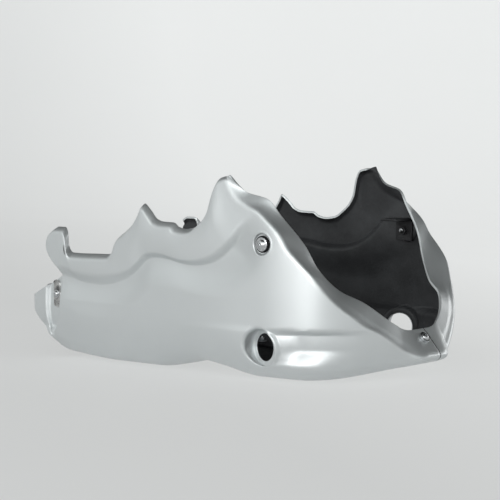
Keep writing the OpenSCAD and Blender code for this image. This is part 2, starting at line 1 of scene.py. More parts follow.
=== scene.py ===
"""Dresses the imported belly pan: smooth moulded shells, small fittings, finishes, camera and studio."""
import json
import math

import bmesh
import bpy
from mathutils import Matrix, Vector


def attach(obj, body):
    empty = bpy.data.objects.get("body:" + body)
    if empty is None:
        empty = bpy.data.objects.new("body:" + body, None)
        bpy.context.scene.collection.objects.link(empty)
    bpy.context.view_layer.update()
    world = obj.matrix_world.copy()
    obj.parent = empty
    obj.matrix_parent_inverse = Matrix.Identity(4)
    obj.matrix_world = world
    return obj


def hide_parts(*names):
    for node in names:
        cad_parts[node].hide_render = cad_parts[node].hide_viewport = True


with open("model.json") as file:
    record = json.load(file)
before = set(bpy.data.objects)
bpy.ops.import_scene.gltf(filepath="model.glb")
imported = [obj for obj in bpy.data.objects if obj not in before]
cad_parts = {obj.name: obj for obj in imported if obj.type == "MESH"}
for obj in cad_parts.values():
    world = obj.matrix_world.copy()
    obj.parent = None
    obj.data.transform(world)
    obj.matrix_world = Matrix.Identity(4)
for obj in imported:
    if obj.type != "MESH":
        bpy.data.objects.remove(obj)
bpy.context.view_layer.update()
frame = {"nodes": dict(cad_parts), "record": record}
MM = 0.001

# The pan's sizes in mm, as in the part's source
LENGTH = 592
WALL = 3
STRIP_HALF = 14
SHOULDER = 85
PEAK = 266
HORN = 225
TAB = 186
REAR_CUT = 151
FRONT_CUT = 194
KEEL_RAISE = 8
EDGE_ROLL = 8
BAND_BULGE = 3
SIDE_LEAN = 5
CREASE_IN = 8
CHANNEL_IN = 11
TAIL_IN = 6
NOSE = LENGTH / 2

# Air duct: its bore, the cup round it, the blister behind it, the groove ahead of it and the bead below that
DUCT_X = 128.5
DUCT_Z = 45.5
DUCT_BORE = 36
CUP_D = 48
CUP_IN = 12
CUP_TURN = 16
LIP_W = 2
BLISTER_OUT = 2
GROOVE_IN = 15
GROOVE_Z = 70
GROOVE_RISE = (17, 42)
GROOVE_FADE = (205, 262)
BEAD_OUT = 1.3
BEAD_Z = 23
BEAD_HALF = 4.5
BEAD_FADE = (170, 225)

# Side screw: its place, its dimple and the hole for its grommet
SIDE_X = 133
SIDE_Z = 180
DIMPLE_IN = 5
DIMPLE_D = 27
GROMMET_HOLE = 16.4

# Lap of the two halves along the middle
LAP_OVER = 9
TONGUE = 20
LAP_DROP = 4.2
SEAM_GAP = 1

# Girth runs down the side as height does, and below the shoulder on round to the keel
TURN = 190
LOBE_TURN = 72
KEEL_G = SHOULDER - TURN

# Height over which the side leans in by SIDE_LEAN
LEAN_RISE = 180
# Lengths between which the section with its lobe turns into the nose's sharper one
SHARPENING = (195, 262)
# Powers that shape the section's roll in breadth and in depth, with the lobe and at the nose
BREADTH_POWERS = (0.48, 0.667)
DEPTH_POWERS = (0.72, 0.909)
# Lengths over which the saddle between the lobes rises behind, and runs out in front
SADDLE_REAR = (-296, -200)
SADDLE_FRONT = (200, 290)
# Length over which the plan is evened out
EVENED = 16
# Reach of the crest's soft arc, and its longer reach at the nose, gained over a few rows
CREST_ROUND = 5
NOSE_ROUND = 13
NOSE_ROWS = 12
# Columns by the nose whose sides run out into the flat strip, over a breadth past it
NOSE_COLUMNS = 14
NOSE_BLEND = 32
# Shallow valley in the front flange beside the crest: its depth and its share of the flange's width
VALLEY_IN = 0.7
VALLEY_SHARE = 0.42

# Length and half breadth
PLAN = ((-296, 147), (-230, 152), (-120, 161), (0, 168), (80, 172), (140, 172), (175, 168.5), (206, 160),
        (223, 143), (244, 119), (262, 89), (276, 64), (285, 44), (292, 29), (296, 15))
# Length and height of the lobes' underside
LOW = ((-296, 12), (-240, 5), (-160, 0), (-80, 0), (-35, 7), (5, 14), (45, 9), (100, 0), (160, 0),
       (195, 3), (230, 9), (262, 16), (296, 28))
# Girth and length of the front crest
CREST = ((KEEL_G, 296), (-46, 286), (-21, 281), (3, 275.5), (32, 269), (54, 262), (71, 252.5), (86, 244),
         (99, 233.5), (114, 223), (129.5, 214), (142.5, 206), (163, 186.5), (177, 172), (196.5, 158.5),
         (213, 139), (223, 124), (229, 106), (238, 90), (249.5, 79.5), (PEAK, 66))
CREASE_END = (130, 221)
# Share of the way down the mouth, then length, half breadth and height of its edge
MOUTH = ((0, 78, 168, PEAK), (0.075, 101, 159, 246), (0.15, 131, 152, 237), (0.22, 147, 146, 216.5),
         (0.35, 176, 132, 177), (0.445, 189, 122, 147.5), (0.555, 211, 105, 119.5), (0.66, 238, 88, 104),
         (0.79, 257, 59, 80), (0.865, 262, 40, 70), (1, 264, STRIP_HALF, 65))
# Station, then upper edge's length and height, crease's length and height, keel's length
STATIONS = (
    (4, -261, TAB - 8, -241, 117, -241),
    (5, -247, TAB, -232, 117, -232),
    (6, -234, TAB, -224, 116, -222),
    (7, -228, TAB - 9, -216, 115, -213),
    (8, -226, REAR_CUT + 10, -209, 113.5, -205),
    (9, -217, REAR_CUT, -201, 112, -196),
    (10, -200, REAR_CUT, -188, 110.5, -182),
    (11, -170, REAR_CUT + 1, -165, 109.7, -155),
    (12, -144, REAR_CUT + 2, -140, 112, -125),
    (13, -134, REAR_CUT + 10, -128, 114.8, -110),
    (14, -128, REAR_CUT + 24, -119, 117.5, -98),
    (15, -112.5, REAR_CUT + 35, -107, 122, -80),
    (16, -95, HORN - 25, -95, 129, -62),
    (17, -85, HORN - 11, -86, 136.5, -48),
    (18, -78, HORN, -78, 143.5, -36),
    (19, -66, HORN - 9, -69, 150, -22),
    (20, -54, FRONT_CUT + 11, -58, 152.5, -8),
    (21, -43, FRONT_CUT + 8, -48, 152.8, 6),
    (22, -24, FRONT_CUT + 7.5, -31, 151.5, 28),
    (23, -14, FRONT_CUT + 2, -20, 149.5, 44),
    (24, -2, FRONT_CUT, -5, 147, 64),
    (25, 12, FRONT_CUT + 2, 12, 146, 88),
    (26, 26, FRONT_CUT + 11, 28, 147, 112),
    (27, 36.5, FRONT_CUT + 21, 47, 151, 138),
    (28, 43.5, PEAK - 38, 62, 157.5, 162),
    (29, 46.5, PEAK - 25, 76, 167, 186),
    (30, 50, PEAK - 13.5, 90, 179, 212),
    (31, 56, PEAK - 3.5, 106, 198, 244),
    (32, 66, PEAK, CREASE_END[0], CREASE_END[1], NOSE))
# Station and height of the tail's upper edge
TAIL_TOP = ((0, 88), (1, 96), (2, 105), (3, 114), (4, 117))
# Girth, then length of the flange's rear edge, of the channel's rear side and of the body's rear edge
TAIL = ((KEEL_G, -236, -231, -226), (0, -255, -250, -244), (28, -270, -264, -256), (42, -279, -266.5, -250),
        (55, -288, -266.5, -243), (73, -NOSE, -266.5, -238), (98, -NOSE, -265.5, -237),
        (117, -NOSE, -254, -241))
# Stations where the body starts, where the lean of its rear edge has gone, and where it ends
BODY_START, LEAN_END, BODY_END = 4, 9, 32
# Stations from which the crest pulls the surface to its own line, and from which crease and bulge fade
PULL_START = 14
FADE_START = 29.5
# How far the tail's tab bulges back, and the station where that has gone
TAB_BACK = 14
TAB_END = 6.5
# Heights over which the tail's channel runs in at its foot, and stations over which its two sides rise
CHANNEL_FOOT = (22, 42)
CHANNEL_REAR = (1.55, 1.95)
CHANNEL_FRONT = (3.5, 3.95)
# Height over which the crease's fold dies away below it, and breadth above it, at the rear and in front
CREASE_BELOW = 40
CREASE_ABOVE = (17, 8)
# Breadth of the band's rolled edge
ROLL_REACH = 10


def mix(a, b, t):
    return a + (b - a) * t


def clamp(low, high, value):
    return min(high, max(low, value))


def ease(start, end, value):
    t = clamp(0, 1, (value - start) / (end - start))
    return t * t * (3 - 2 * t)


def chord(rows, i, k):
    return (rows[i + 1][k] - rows[i][k]) / (rows[i + 1][0] - rows[i][0])


def slope(rows, i, k):
    if i <= 0:
        return chord(rows, 0, k)
    if i >= len(rows) - 1:
        return chord(rows, len(rows) - 2, k)
    before, after = chord(rows, i - 1, k), chord(rows, i, k)
    return 0 if before * after <= 0 else 2 * before * after / (before + after)


def curve(rows, at, k=1):
    """Smooth curve through the rows of a table that never swings past its points."""
    t = clamp(rows[0][0], rows[-1][0], at)
    i = 0
    while i < len(rows) - 2 and t > rows[i + 1][0]:
        i += 1
    h = rows[i + 1][0] - rows[i][0]
    s = (t - rows[i][0]) / h
    return ((1 + 2 * s) * (1 - s) ** 2 * rows[i][k] + s * (1 - s) ** 2 * h * slope(rows, i, k)
            + s * s * (3 - 2 * s) * rows[i + 1][k] + s * s * (s - 1) * h * slope(rows, i + 1, k))


def sharpened(x):
    return ease(*SHARPENING, x)


def plan(x):
    """Half breadth, evened out over a short length so that no bend shows in the lacquer."""
    step = EVENED / 2 * clamp(0, 1, (NOSE - abs(x)) / EVENED)
    return sum((3 - abs(n)) * curve(PLAN, x + step * n) for n in (-2, -1, 0, 1, 2)) / 9


def keel_height(x):
    return curve(LOW, x) + KEEL_RAISE * ease(*SADDLE_REAR, x) * (1 - ease(*SADDLE_FRONT, x))


def bare(x, g):
    """Bare hull at length x and girth g: height above the shoulder, then a turn round to the keel."""
    b = plan(x)
    if g >= SHOULDER:
        return Vector((x, b - SIDE_LEAN * ((g - SHOULDER) / LEAN_RISE) ** 2, g))
    phi = clamp(0, 90, (SHOULDER - g) / TURN * 90)
    lobe = mix(LOBE_TURN, 90, sharpened(x))
    z0 = curve(LOW, x)
    breadth = max(0, math.cos(math.radians(phi))) ** mix(*BREADTH_POWERS, sharpened(x))
    depth = math.sin(math.radians(min(90, phi * 90 / lobe))) ** mix(*DEPTH_POWERS, sharpened(x))
    rise = (keel_height(x) - z0) * ease(LOBE_TURN, 90, phi)
    return Vector((x, STRIP_HALF + (b - STRIP_HALF) * breadth, SHOULDER - (SHOULDER - z0) * depth + rise))


def outward(x, g):
    a, b = bare(x, g - 0.5), bare(x, g + 0.5)
    return Vector((0, b.z - a.z, a.y - b.y)).normalized()


def upper(p):
    """Height of the body's upper boundary: the tail's edge, then the crease."""
    return curve(TAIL_TOP, p) if p < BODY_START else curve(STATIONS, p, 4)


def tail_x(p, g):
    if p < 2:
        return mix(curve(TAIL, g, 1), curve(TAIL, g, 2), p / 2)
    return mix(curve(TAIL, g, 2), curve(TAIL, g, 3), p / 2 - 1)


def lean(p, g):
    """How far the body follows the slope of its rear edge."""
    return (curve(TAIL, g, 3) - STATIONS[0][5]) * (1 - ease(BODY_START, LEAN_END, p))


def pull(p):
    return ease(PULL_START, BODY_END, p)


def fade(p):
    return 1 - ease(FADE_START, BODY_END, p)


def body_at(p, w):
    """Length and girth at station p: w is 0 at the crease, 1 at the groove lip and 2 at the keel."""
    top = upper(p)
    g = mix(top, GROOVE_Z, w) if w < 1 else mix(GROOVE_Z, KEEL_G, w - 1)
    if p < BODY_START:
        return tail_x(p, g), g
    g_crest = mix(CREASE_END[1], GROOVE_Z, w) if w < 1 else g
    f = (top - g) / (top - KEEL_G)
    f_crest = (CREASE_END[1] - g_crest) / (CREASE_END[1] - KEEL_G)
    ahead = curve(CREST, g_crest) - mix(CREASE_END[0], NOSE, f_crest)
    return mix(curve(STATIONS, p, 3), curve(STATIONS, p, 5), f) + lean(p, g) + pull(p) * ahead, g


def band_at(p, v):
    """Length and height in the band: v is 0 at the upper edge and 1 at the crease."""
    top = curve(STATIONS, p, 1), curve(STATIONS, p, 2)
    low = curve(STATIONS, p, 3), curve(STATIONS, p, 4)
    back = TAB_BACK * (1 - ease(BODY_START, TAB_END, p)) * math.sin(math.pi * min(1, v * 1.25))
    ahead = curve(CREST, mix(PEAK, CREASE_END[1], v)) - mix(STATIONS[-1][1], CREASE_END[0], v)
    return mix(top[0], low[0], v) - back + pull(p) * ahead, mix(top[1], low[1], v)


def groove(x, z):
    """Groove ahead of the cup, under its lip, with a low bead along its foot."""
    off_lip = math.hypot(x - DUCT_X, z - DUCT_Z) - CUP_D / 2 - LIP_W
    bead = BEAD_OUT * ease(DUCT_X - 2, DUCT_X + 10, x) * (1 - ease(*BEAD_FADE, x))
    along_cup = mix(ease(0, 28, off_lip), ease(0, 4, off_lip), 0.35) * ease(DUCT_X - 4, DUCT_X + 12, x)
    across = ease(-2, 7, GROOVE_Z - z) * ease(*GROOVE_RISE, z)
    depth = GROOVE_IN * along_cup * (1 - ease(*GROOVE_FADE, x)) * across
    return bead * max(0, 1 - abs(z - BEAD_Z) / BEAD_HALF) - depth


def blister(x, z):
    """Low swelling behind the cup."""
    return (BLISTER_OUT * ease(-20, DUCT_X - 30, x) * (1 - ease(DUCT_X - 12, DUCT_X, x))
            * ease(DUCT_Z - 27, DUCT_Z, z) * (1 - ease(GROOVE_Z - 5, GROOVE_Z + 5, z)))


def crease(p, g):
    return -CREASE_IN * (1 - ease(0, CREASE_BELOW, upper(p) - g)) * fade(p)


def body_off(p, x, g):
    """How far the body's skin stands off the bare hull."""
    if p < BODY_START:
        sunk = -mix(TAIL_IN, CHANNEL_IN, ease(*CHANNEL_REAR, p)) * ease(*CHANNEL_FOOT, g)
        return mix(sunk, crease(BODY_START, g), ease(*CHANNEL_FRONT, p))
    z = bare(x, g).z
    return crease(p, g) + groove(x, z) + blister(x, z)


def band_off(p, v):
    """How far the band's skin stands off the bare hull: a bulge between the rolled edge and the crease."""
    run = curve(STATIONS, p, 1) - curve(STATIONS, p, 3)
    rise = curve(STATIONS, p, 2) - curve(STATIONS, p, 4)
    breadth = math.hypot(run, rise)
    swell = BAND_BULGE * math.sin(math.pi * v) ** 0.7 * fade(p) if 0 < v < 1 else 0
    roll = EDGE_ROLL * max(0, 1 - v * breadth / ROLL_REACH) ** 2
    above = mix(*CREASE_ABOVE, ease(9, 19, p))
    return swell - roll - CREASE_IN * (1 - ease(0, above, (1 - v) * breadth)) * fade(p)


def body_point(p, w):
    x, g = body_at(p, w)
    return bare(x, g) + outward(x, g) * body_off(p, x, g)


def band_point(p, v):
    x, g = band_at(p, v)
    return bare(x, g) + outward(x, g) * band_off(p, v)


# Grid of the moulded skin
def steps(start, end, size):
    count = max(1, round((end - start) / size))
    return [mix(start, end, i / count) for i in range(count)]


# Stations of the columns, from the tail to the crest: the band starts at BAND_START
BAND_START = 4.3
COLUMNS = (steps(0, 1.2, 0.15) + steps(1.2, 2.1, 0.08) + steps(2.1, 3.4, 0.13) + steps(3.4, 4, 0.06)
           + steps(4, BAND_START, 0.1) + steps(BAND_START, 14, 0.16) + steps(14, 24, 0.18)
           + steps(24, 31.6, 0.12) + steps(31.6, 32, 0.1) + [32])
# Shares of the way across the front flange, down the band and down the body
FLANGE = steps(0.04, 1, 0.06) + [1]
BAND_ROWS = steps(0, 0.2, 0.02) + steps(0.2, 0.84, 0.04) + steps(0.84, 1, 0.016)
BODY_ROWS = (steps(0, 0.08, 0.01) + steps(0.08, 0.9, 0.026) + steps(0.9, 1, 0.02) + steps(1, 1.04, 0.005)
             + steps(1.04, 1.1, 0.015) + steps(1.1, 2, 0.02) + [2])
FIRST_BAND = next(i for i, p in enumerate(COLUMNS) if abs(p - BAND_START) < 1e-6)
LAST_BODY = len(COLUMNS) - 1
LAST_COLUMN = LAST_BODY + len(FLANGE)
CREASE_ROW = len(BAND_ROWS)
KEEL_ROW = CREASE_ROW + len(BODY_ROWS) - 1


def side_point(i, j):
    if j < CREASE_ROW:
        return band_point(COLUMNS[i], BAND_ROWS[j])
    return body_point(COLUMNS[i], BODY_ROWS[j - CREASE_ROW])


def rounded(line, corner, reach):
    """The line of points with its corner turned on a smooth arc that starts and ends at the reach."""
    def walk(direction):
        left, k = reach, corner
        while 0 < k < len(line) - 1 or k == corner:
            span = (line[k + direction] - line[k]).length
            if span >= left:
                return line[k].lerp(line[k + direction], left / span), k
            left -= span
            k += direction
        return line[k], k
    start, first = walk(-1)
    end, last = walk(1)
    out = list(line)
    inside = range(first, last + 1)
    for n, k in enumerate(inside):
        t = (n + 0.5) / len(inside)
        out[k] = start * (1 - t) ** 2 + line[corner] * (2 * t * (1 - t)) + end * t * t
    return out


def first_column(j):
    """The band starts further forward than the body's tail."""
    return FIRST_BAND if j < CREASE_ROW else 0


def add_flange(skin):
    """Front flange from the body's last column to the mouth's edge, row by row."""
    runs = [0]
    for j in range(1, KEEL_ROW + 1):
        runs.append(runs[-1] + (skin[LAST_BODY, j] - skin[LAST_BODY, j - 1]).length)
    for j in range(KEEL_ROW + 1):
        s = runs[j] / runs[-1]
        edge = Vector((curve(MOUTH, s, 1), curve(MOUTH, s, 2), curve(MOUTH, s, 3)))
        valley = VALLEY_IN * ease(0.42, 0.62, s) * (1 - ease(0.86, 1, s))
        for n, t in enumerate(FLANGE):
            skin[LAST_BODY + 1 + n, j] = skin[LAST_BODY, j].lerp(edge, t)
            skin[LAST_BODY + 1 + n, j].x -= valley * math.sin(math.pi * clamp(0, 1, t / VALLEY_SHARE))


def round_crest(skin):
    """Turns the crest between body and flange on a soft arc, softer towards the nose."""
    for j in range(KEEL_ROW + 1):
        first = first_column(j)
        line = [skin[i, j] for i in range(first, LAST_COLUMN + 1)]
        reach = mix(CREST_ROUND, NOSE_ROUND, ease(KEEL_ROW - NOSE_ROWS, KEEL_ROW, j))
        for n, point in enumerate(rounded(line, LAST_BODY - first, reach)):
            skin[first + n, j] = point


def blend_nose(skin):
    """Lets the flat strip at the nose run out into the sides without a fold."""
    for i in range(LAST_BODY - NOSE_COLUMNS, LAST_COLUMN + 1):
        foot = skin[i, KEEL_ROW]
        for j in range(KEEL_ROW):
            point = skin[i, j]
            t = (point.y - STRIP_HALF) / NOSE_BLEND
            if t < 1:
                share = t * t * (2 - t)
                skin[i, j] = Vector((mix(foot.x, point.x, share), point.y, mix(foot.z, point.z, share)))


def half_skin():
    """Points of one half by column and row, in its own side's frame."""
    skin = {}
    for j in range(KEEL_ROW + 1):
        for i in range(first_column(j), LAST_BODY + 1):
            skin[i, j] = side_point(i, j)
    add_flange(skin)
    round_crest(skin)
    blend_nose(skin)
    return skin


def at_height(x, z, point_at):
    """The point of a surface round the duct at a length and height: its girth is found by halving."""
    low_g, high_g = -60, 120
    for _ in range(16):
        g = (low_g + high_g) / 2
        point = point_at(x, g)
        if point.z < z:
            low_g = g
        else:
            high_g = g
    return point


def duct_skin(x, g):
    point = bare(x, g)
    return point + outward(x, g) * (groove(x, point.z) + blister(x, point.z))


def skin_at(x, z):
    return at_height(x, z, duct_skin)


def hull_at(x, z):
    return at_height(x, z, bare)


def surface(x, g):
    """The body's skin at a length and girth: the station there is found by halving."""
    low_p, high_p = BODY_START, BODY_END
    for _ in range(18):
        p = (low_p + high_p) / 2
        top = upper(p)
        w = (top - g) / (top - GROOVE_Z) if g > GROOVE_Z else 1 + (GROOVE_Z - g) / (GROOVE_Z - KEEL_G)
        if body_at(p, max(0, w))[0] < x:
            low_p = p
        else:
            high_p = p
    return bare(x, g) + outward(x, g) * body_off(p, x, g)


# Moulded details set into the grid

# No face nearer the middle than this is taken out for a detail
SIDE_FROM = 90


def open_patch(mesh, cx, cz, reach):
    """Deletes the faces within reach of a point on the side and returns the loop of edges left round it."""
    centres = {f: f.calc_center_median() / MM for f in mesh.faces}
    near = [f for f, at in centres.items()
            if math.hypot(at.x - cx, at.z - cz) < reach and at.y > SIDE_FROM]
    rim = {e for f in near for e in f.edges if any(o not in near for o in e.link_faces)}
    inner = [v for v in {v for f in near for v in f.verts} if all(f in near for f in v.link_faces)]
    bmesh.ops.delete(mesh, geom=near, context="FACES_ONLY")
    bmesh.ops.delete(mesh, geom=[v for v in inner if v.is_valid], context="VERTS")
    return [e for e in rim if e.is_valid]


def ring_in(mesh, loop, angles, place):
    """Extrudes a loop of edges and sets each new vertex by its angle round the centre."""
    made = bmesh.ops.extrude_edge_only(mesh, edges=loop)["geom"]
    new = [g for g in made if isinstance(g, bmesh.types.BMVert)]
    new_set = set(new)
    new_angles = {}
    for v in new:
        for e in v.link_edges:
            other = e.other_vert(v)
            if other in angles and other not in new_set:
                new_angles[v] = angles[other]
    for v in new:
        v.co = place(new_angles[v], v.co.copy() / MM) * MM
    edges = [g for g in made if isinstance(g, bmesh.types.BMEdge) and all(v in new_set for v in g.verts)]
    return edges, new_angles


def angles_round(loop, cx, cz):
    """Angle of each vertex of a closed loop round a centre, evened out so that it never turns back."""
    links = {}
    for e in loop:
        a, b = e.verts
        links.setdefault(a, []).append(b)
        links.setdefault(b, []).append(a)
    first = loop[0].verts[0]
    chain, before, here = [first], None, first
    while True:
        onward = next(v for v in links[here] if v is not before)
        before, here = here, onward
        if here is first:
            break
        chain.append(here)
    turns = [math.atan2(v.co.z / MM - cz, v.co.x / MM - cx) for v in chain]
    count = len(chain)
    for n in range(1, count):
        turns[n] += 2 * math.pi * round((turns[n - 1] - turns[n]) / (2 * math.pi))
    whole = 2 * math.pi * (1 if turns[-1] > turns[0] else -1)
    for _ in range(12):
        turns = [(turns[n - 1] - (whole if n == 0 else 0) + 2 * turns[n]
                  + turns[(n + 1) % count] + (whole if n == count - 1 else 0)) / 4 for n in range(count)]
    return dict(zip(chain, turns))


# Rings of the cup's roll: radius past the cup's, depth under the rim at the rear and in front, skin's share
CUP_ROLL = ((5.5, 0, 0, 1), (4.2, 0.1, 0, 1), (3.2, 0.45, 0, 1), (2.4, 1, 0.9, 0.75), (2, 1.4, 0.35, 0.3),
            (1.6, 1.8, 0.08, 0.05), (1.1, 2.5, 0, 0), (0.7, 3.3, 0.1, 0), (0.35, 4.4, 0.45, 0),
            (0.1, 5.8, 1.1, 0), (0, 8, 2, 0))
# Rings of its floor: radius, height over the floor, share of the floor's turn
CUP_FLOOR = ((CUP_D / 2 - 0.1, 1.4, 0), (CUP_D / 2 - 0.5, 0.5, 0), (CUP_D / 2 - 1.2, 0.1, 0),
             (CUP_D / 2 - 2.2, 0, 0.2), (DUCT_BORE / 2 + 1.2, 0, 1), (DUCT_BORE / 2 + 0.5, -0.1, 1),
             (DUCT_BORE / 2 + 0.15, -0.4, 1), (DUCT_BORE / 2, -1, 1))


def set_cup(mesh):
    """Cup of the air duct: a soft rim, a wall, a flat floor turned to the rear and the bore through it."""
    r, turn = CUP_D / 2, math.radians(CUP_TURN)
    middle = bare(DUCT_X, DUCT_Z).y - CUP_IN
    loop = open_patch(mesh, DUCT_X, DUCT_Z, r + 8)
    angles = angles_round(loop, DUCT_X, DUCT_Z)
    tops = {}

    def spot(angle, radius):
        return DUCT_X + radius * math.cos(angle), DUCT_Z + radius * math.sin(angle)

    def front(angle):
        """1 in front, where the groove meets the cup, and 0 at the rear."""
        return ease(-0.1, 0.4, math.cos(angle + 0.35))

    def top(angle):
        """Height out of the rim: on the skin at the rear, on the lip in front."""
        if angle not in tops:
            x, z = spot(angle, r + 1)
            tops[angle] = mix(skin_at(x, z).y, hull_at(x, z).y - 0.2, front(angle))
        return tops[angle]

    def floor_y(angle, x):
        """The turned floor, kept a little under the rim."""
        return min(middle + (x - DUCT_X) * math.tan(turn), top(angle) - 0.9)

    def half_way(angle, old):
        x, z = spot(angle, r + 5.5)
        return skin_at(mix(old.x, x, 0.5), mix(old.z, z, 0.5))

    def rim(radius, rear_depth, front_depth, skin_share):
        """A ring of the roll, blended from the skin outside."""
        def place(angle, old):
            x, z = spot(angle, radius)
            depth = mix(rear_depth, front_depth, front(angle))
            height = top(angle) - floor_y(angle, x)
            skin = skin_at(x, z).y
            edge = top(angle) - min(depth, 0.92 * height)
            outside = skin - mix(rear_depth, 0, front(angle))
            return Vector((x, mix(edge, outside, skin_share), z))
        return place

    def floor(radius, up, tilted):
        def place(angle, old):
            x = DUCT_X + radius * math.cos(angle) * mix(1, math.cos(turn), tilted)
            base = floor_y(angle, x)
            return Vector((x, base + min(up, 0.3 * (top(angle) - base)), DUCT_Z + radius * math.sin(angle)))
        return place

    loop, angles = ring_in(mesh, loop, angles, half_way)
    for past, rear_depth, front_depth, skin_share in CUP_ROLL:
        loop, angles = ring_in(mesh, loop, angles, rim(r + past, rear_depth, front_depth, skin_share))
    for ring in CUP_FLOOR:
        loop, angles = ring_in(mesh, loop, angles, floor(*ring))


# Rings of the dimple: radius, depth under the skin, share of the flat floor
DIMPLE_RINGS = ((DIMPLE_D / 2 + 4, 0, 0), (DIMPLE_D / 2 + 3, -0.25, 0), (DIMPLE_D / 2 + 2, -0.35, 0),
                (DIMPLE_D / 2 + 1.1, 0, 0), (DIMPLE_D / 2 + 0.4, 0.7, 0.1), (DIMPLE_D / 2, 1.6, 0.35),
                (DIMPLE_D / 2 - 0.5, 2.6, 0.75), (DIMPLE_D / 2 - 1.2, 0, 0.97), (DIMPLE_D / 2 - 2.2, 0, 1),
                (GROMMET_HOLE / 2 + 0.6, 0, 1), (GROMMET_HOLE / 2, 0, 1.06))


def set_dimple(mesh):
    """Round dimple of the side screw with a soft rim and the grommet's hole."""
    base = bare(SIDE_X, SIDE_Z).y
    outer = DIMPLE_RINGS[0][0]
    loop = open_patch(mesh, SIDE_X, SIDE_Z, outer + 3)
    angles = angles_round(loop, SIDE_X, SIDE_Z)

    def sunk(radius, depth, flat):
        def place(angle, old):
            x, z = SIDE_X + radius * math.cos(angle), SIDE_Z + radius * math.sin(angle)
            return Vector((x, mix(surface(x, z).y - depth, base - DIMPLE_IN, flat), z))
        return place

    def half_way(angle, old):
        x = mix(old.x, SIDE_X + outer * math.cos(angle), 0.5)
        z = mix(old.z, SIDE_Z + outer * math.sin(angle), 0.5)
        return surface(x, z)

    loop, angles = ring_in(mesh, loop, angles, half_way)
    for ring in DIMPLE_RINGS:
        loop, angles = ring_in(mesh, loop, angles, sunk(*ring))


# Finishes
def finish(name, base, metallic, roughness):
    """A material, its node tree, its shader and the object's own coordinates."""
    material = bpy.data.materials.new(name)
    material.use_nodes = True
    tree = material.node_tree
    shader = tree.nodes["Principled BSDF"]
    shader.inputs["Base Color"].default_value = (*base, 1)
    shader.inputs["Metallic"].default_value = metallic
    shader.inputs["Roughness"].default_value = roughness
    place = tree.nodes.new("ShaderNodeTexCoord").outputs["Object"]
    return material, tree, shader, place


def noise(tree, place, scale, detail=2, roughness=0.5):
    node = tree.nodes.new("ShaderNodeTexNoise")
    node.inputs["Scale"].default_value = scale
    node.inputs["Detail"].default_value = detail
    node.inputs["Roughness"].default_value = roughness
    tree.links.new(place, node.inputs["Vector"])
    return node


def ramp(tree, value, stops):
    """Colours picked by a value: each stop is a place and its colour."""
    node = tree.nodes.new("ShaderNodeValToRGB")
    elements = node.color_ramp.elements
    while len(elements) < len(stops):
        elements.new(0.5)
    for element, (at, colour) in zip(elements, stops):
        element.position = at
        element.color = (*colour, 1)
    tree.links.new(value, node.inputs["Fac"])
    return node.outputs["Color"]


def spread(tree, value, low, high, from_low=0.3, from_high=0.7):
    """A value between the two limits it is read from, spread between low and high."""
    node = tree.nodes.new("ShaderNodeMapRange")
    node.inputs["From Min"].default_value = from_low
    node.inputs["From Max"].default_value = from_high
    node.inputs["To Min"].default_value = low
    node.inputs["To Max"].default_value = high
    tree.links.new(value, node.inputs["Value"])
    return node.outputs["Result"]


def along(tree, place, direction):
    """How far a place lies along a direction."""
    node = tree.nodes.new("ShaderNodeVectorMath")
    node.operation = "DOT_PRODUCT"
    node.inputs[1].default_value = direction
    tree.links.new(place, node.inputs[0])
    return node.outputs["Value"]


def reckon(tree, operation, first, second):
    """Two values put together by the named operation."""
    node = tree.nodes.new("ShaderNodeMath")
    node.operation = operation
    tree.links.new(first, node.inputs[0])
    tree.links.new(second, node.inputs[1])
    return node.outputs["Value"]


def bump(tree, height, distance, strength, below=None):
    node = tree.nodes.new("ShaderNodeBump")
    node.inputs["Distance"].default_value = distance
    node.inputs["Strength"].default_value = strength
    tree.links.new(height, node.inputs["Height"])
    if below:
        tree.links.new(below, node.inputs["Normal"])
    return node.outputs["Normal"]


def clouded(tree, shader, pattern, dark, light, low=0.3, high=0.7):
    """Base colour that drifts between two shades with a noise pattern."""
    shades = ramp(tree, pattern.outputs["Fac"], ((low, dark), (high, light)))
    tree.links.new(shades, shader.inputs["Base Color"])


def silver_lacquer():
    """Satin silver lacquer: fine metal flake under a clear coat with a faint orange peel."""
    material, tree, shader, place = finish("silver_lacquer", (0.66, 0.685, 0.69), metallic=0.7, roughness=0.4)
    shader.inputs["Coat Weight"].default_value = 0.35
    shader.inputs["Coat Roughness"].default_value = 0.16
    shader.inputs["Coat IOR"].default_value = 1.5
    flake = tree.nodes.new("ShaderNodeTexVoronoi")
    flake.inputs["Scale"].default_value = 1500
    tree.links.new(place, flake.inputs["Vector"])
    cloud = noise(tree, place, scale=9, detail=3)
    clouded(tree, shader, cloud, dark=(0.64, 0.667, 0.672), light=(0.675, 0.7, 0.705))
    dullness = spread(tree, flake.outputs["Distance"], low=0.37, high=0.47, from_low=0, from_high=0.6)
    tree.links.new(dullness, shader.inputs["Roughness"])
    peel = noise(tree, place, scale=260, detail=1)
    flake_bump = bump(tree, flake.outputs["Distance"], distance=0.04 * MM, strength=0.25)
    coat_bump = bump(tree, peel.outputs["Fac"], distance=0.06 * MM, strength=0.2, below=flake_bump)
    tree.links.new(coat_bump, shader.inputs["Normal"])
    return material


def raw_inside():
    """Unpainted inner face of the moulding: dark gelcoat over a chopped strand mat."""
    material, tree, shader, place = finish("raw_inner_face", (0.03, 0.032, 0.034), metallic=0, roughness=0.6)
    strands = noise(tree, place, scale=180, detail=4, roughness=0.7)
    blotch = noise(tree, place, scale=22)
    clouded(tree, shader, blotch, (0.022, 0.023, 0.025), (0.045, 0.047, 0.05), low=0.35, high=0.65)
    dullness = spread(tree, strands.outputs["Fac"], low=0.48, high=0.72)
    tree.links.new(dullness, shader.inputs["Roughness"])
    mat_bump = bump(tree, strands.outputs["Fac"], distance=0.6 * MM, strength=0.5)
    tree.links.new(mat_bump, shader.inputs["Normal"])
    return material


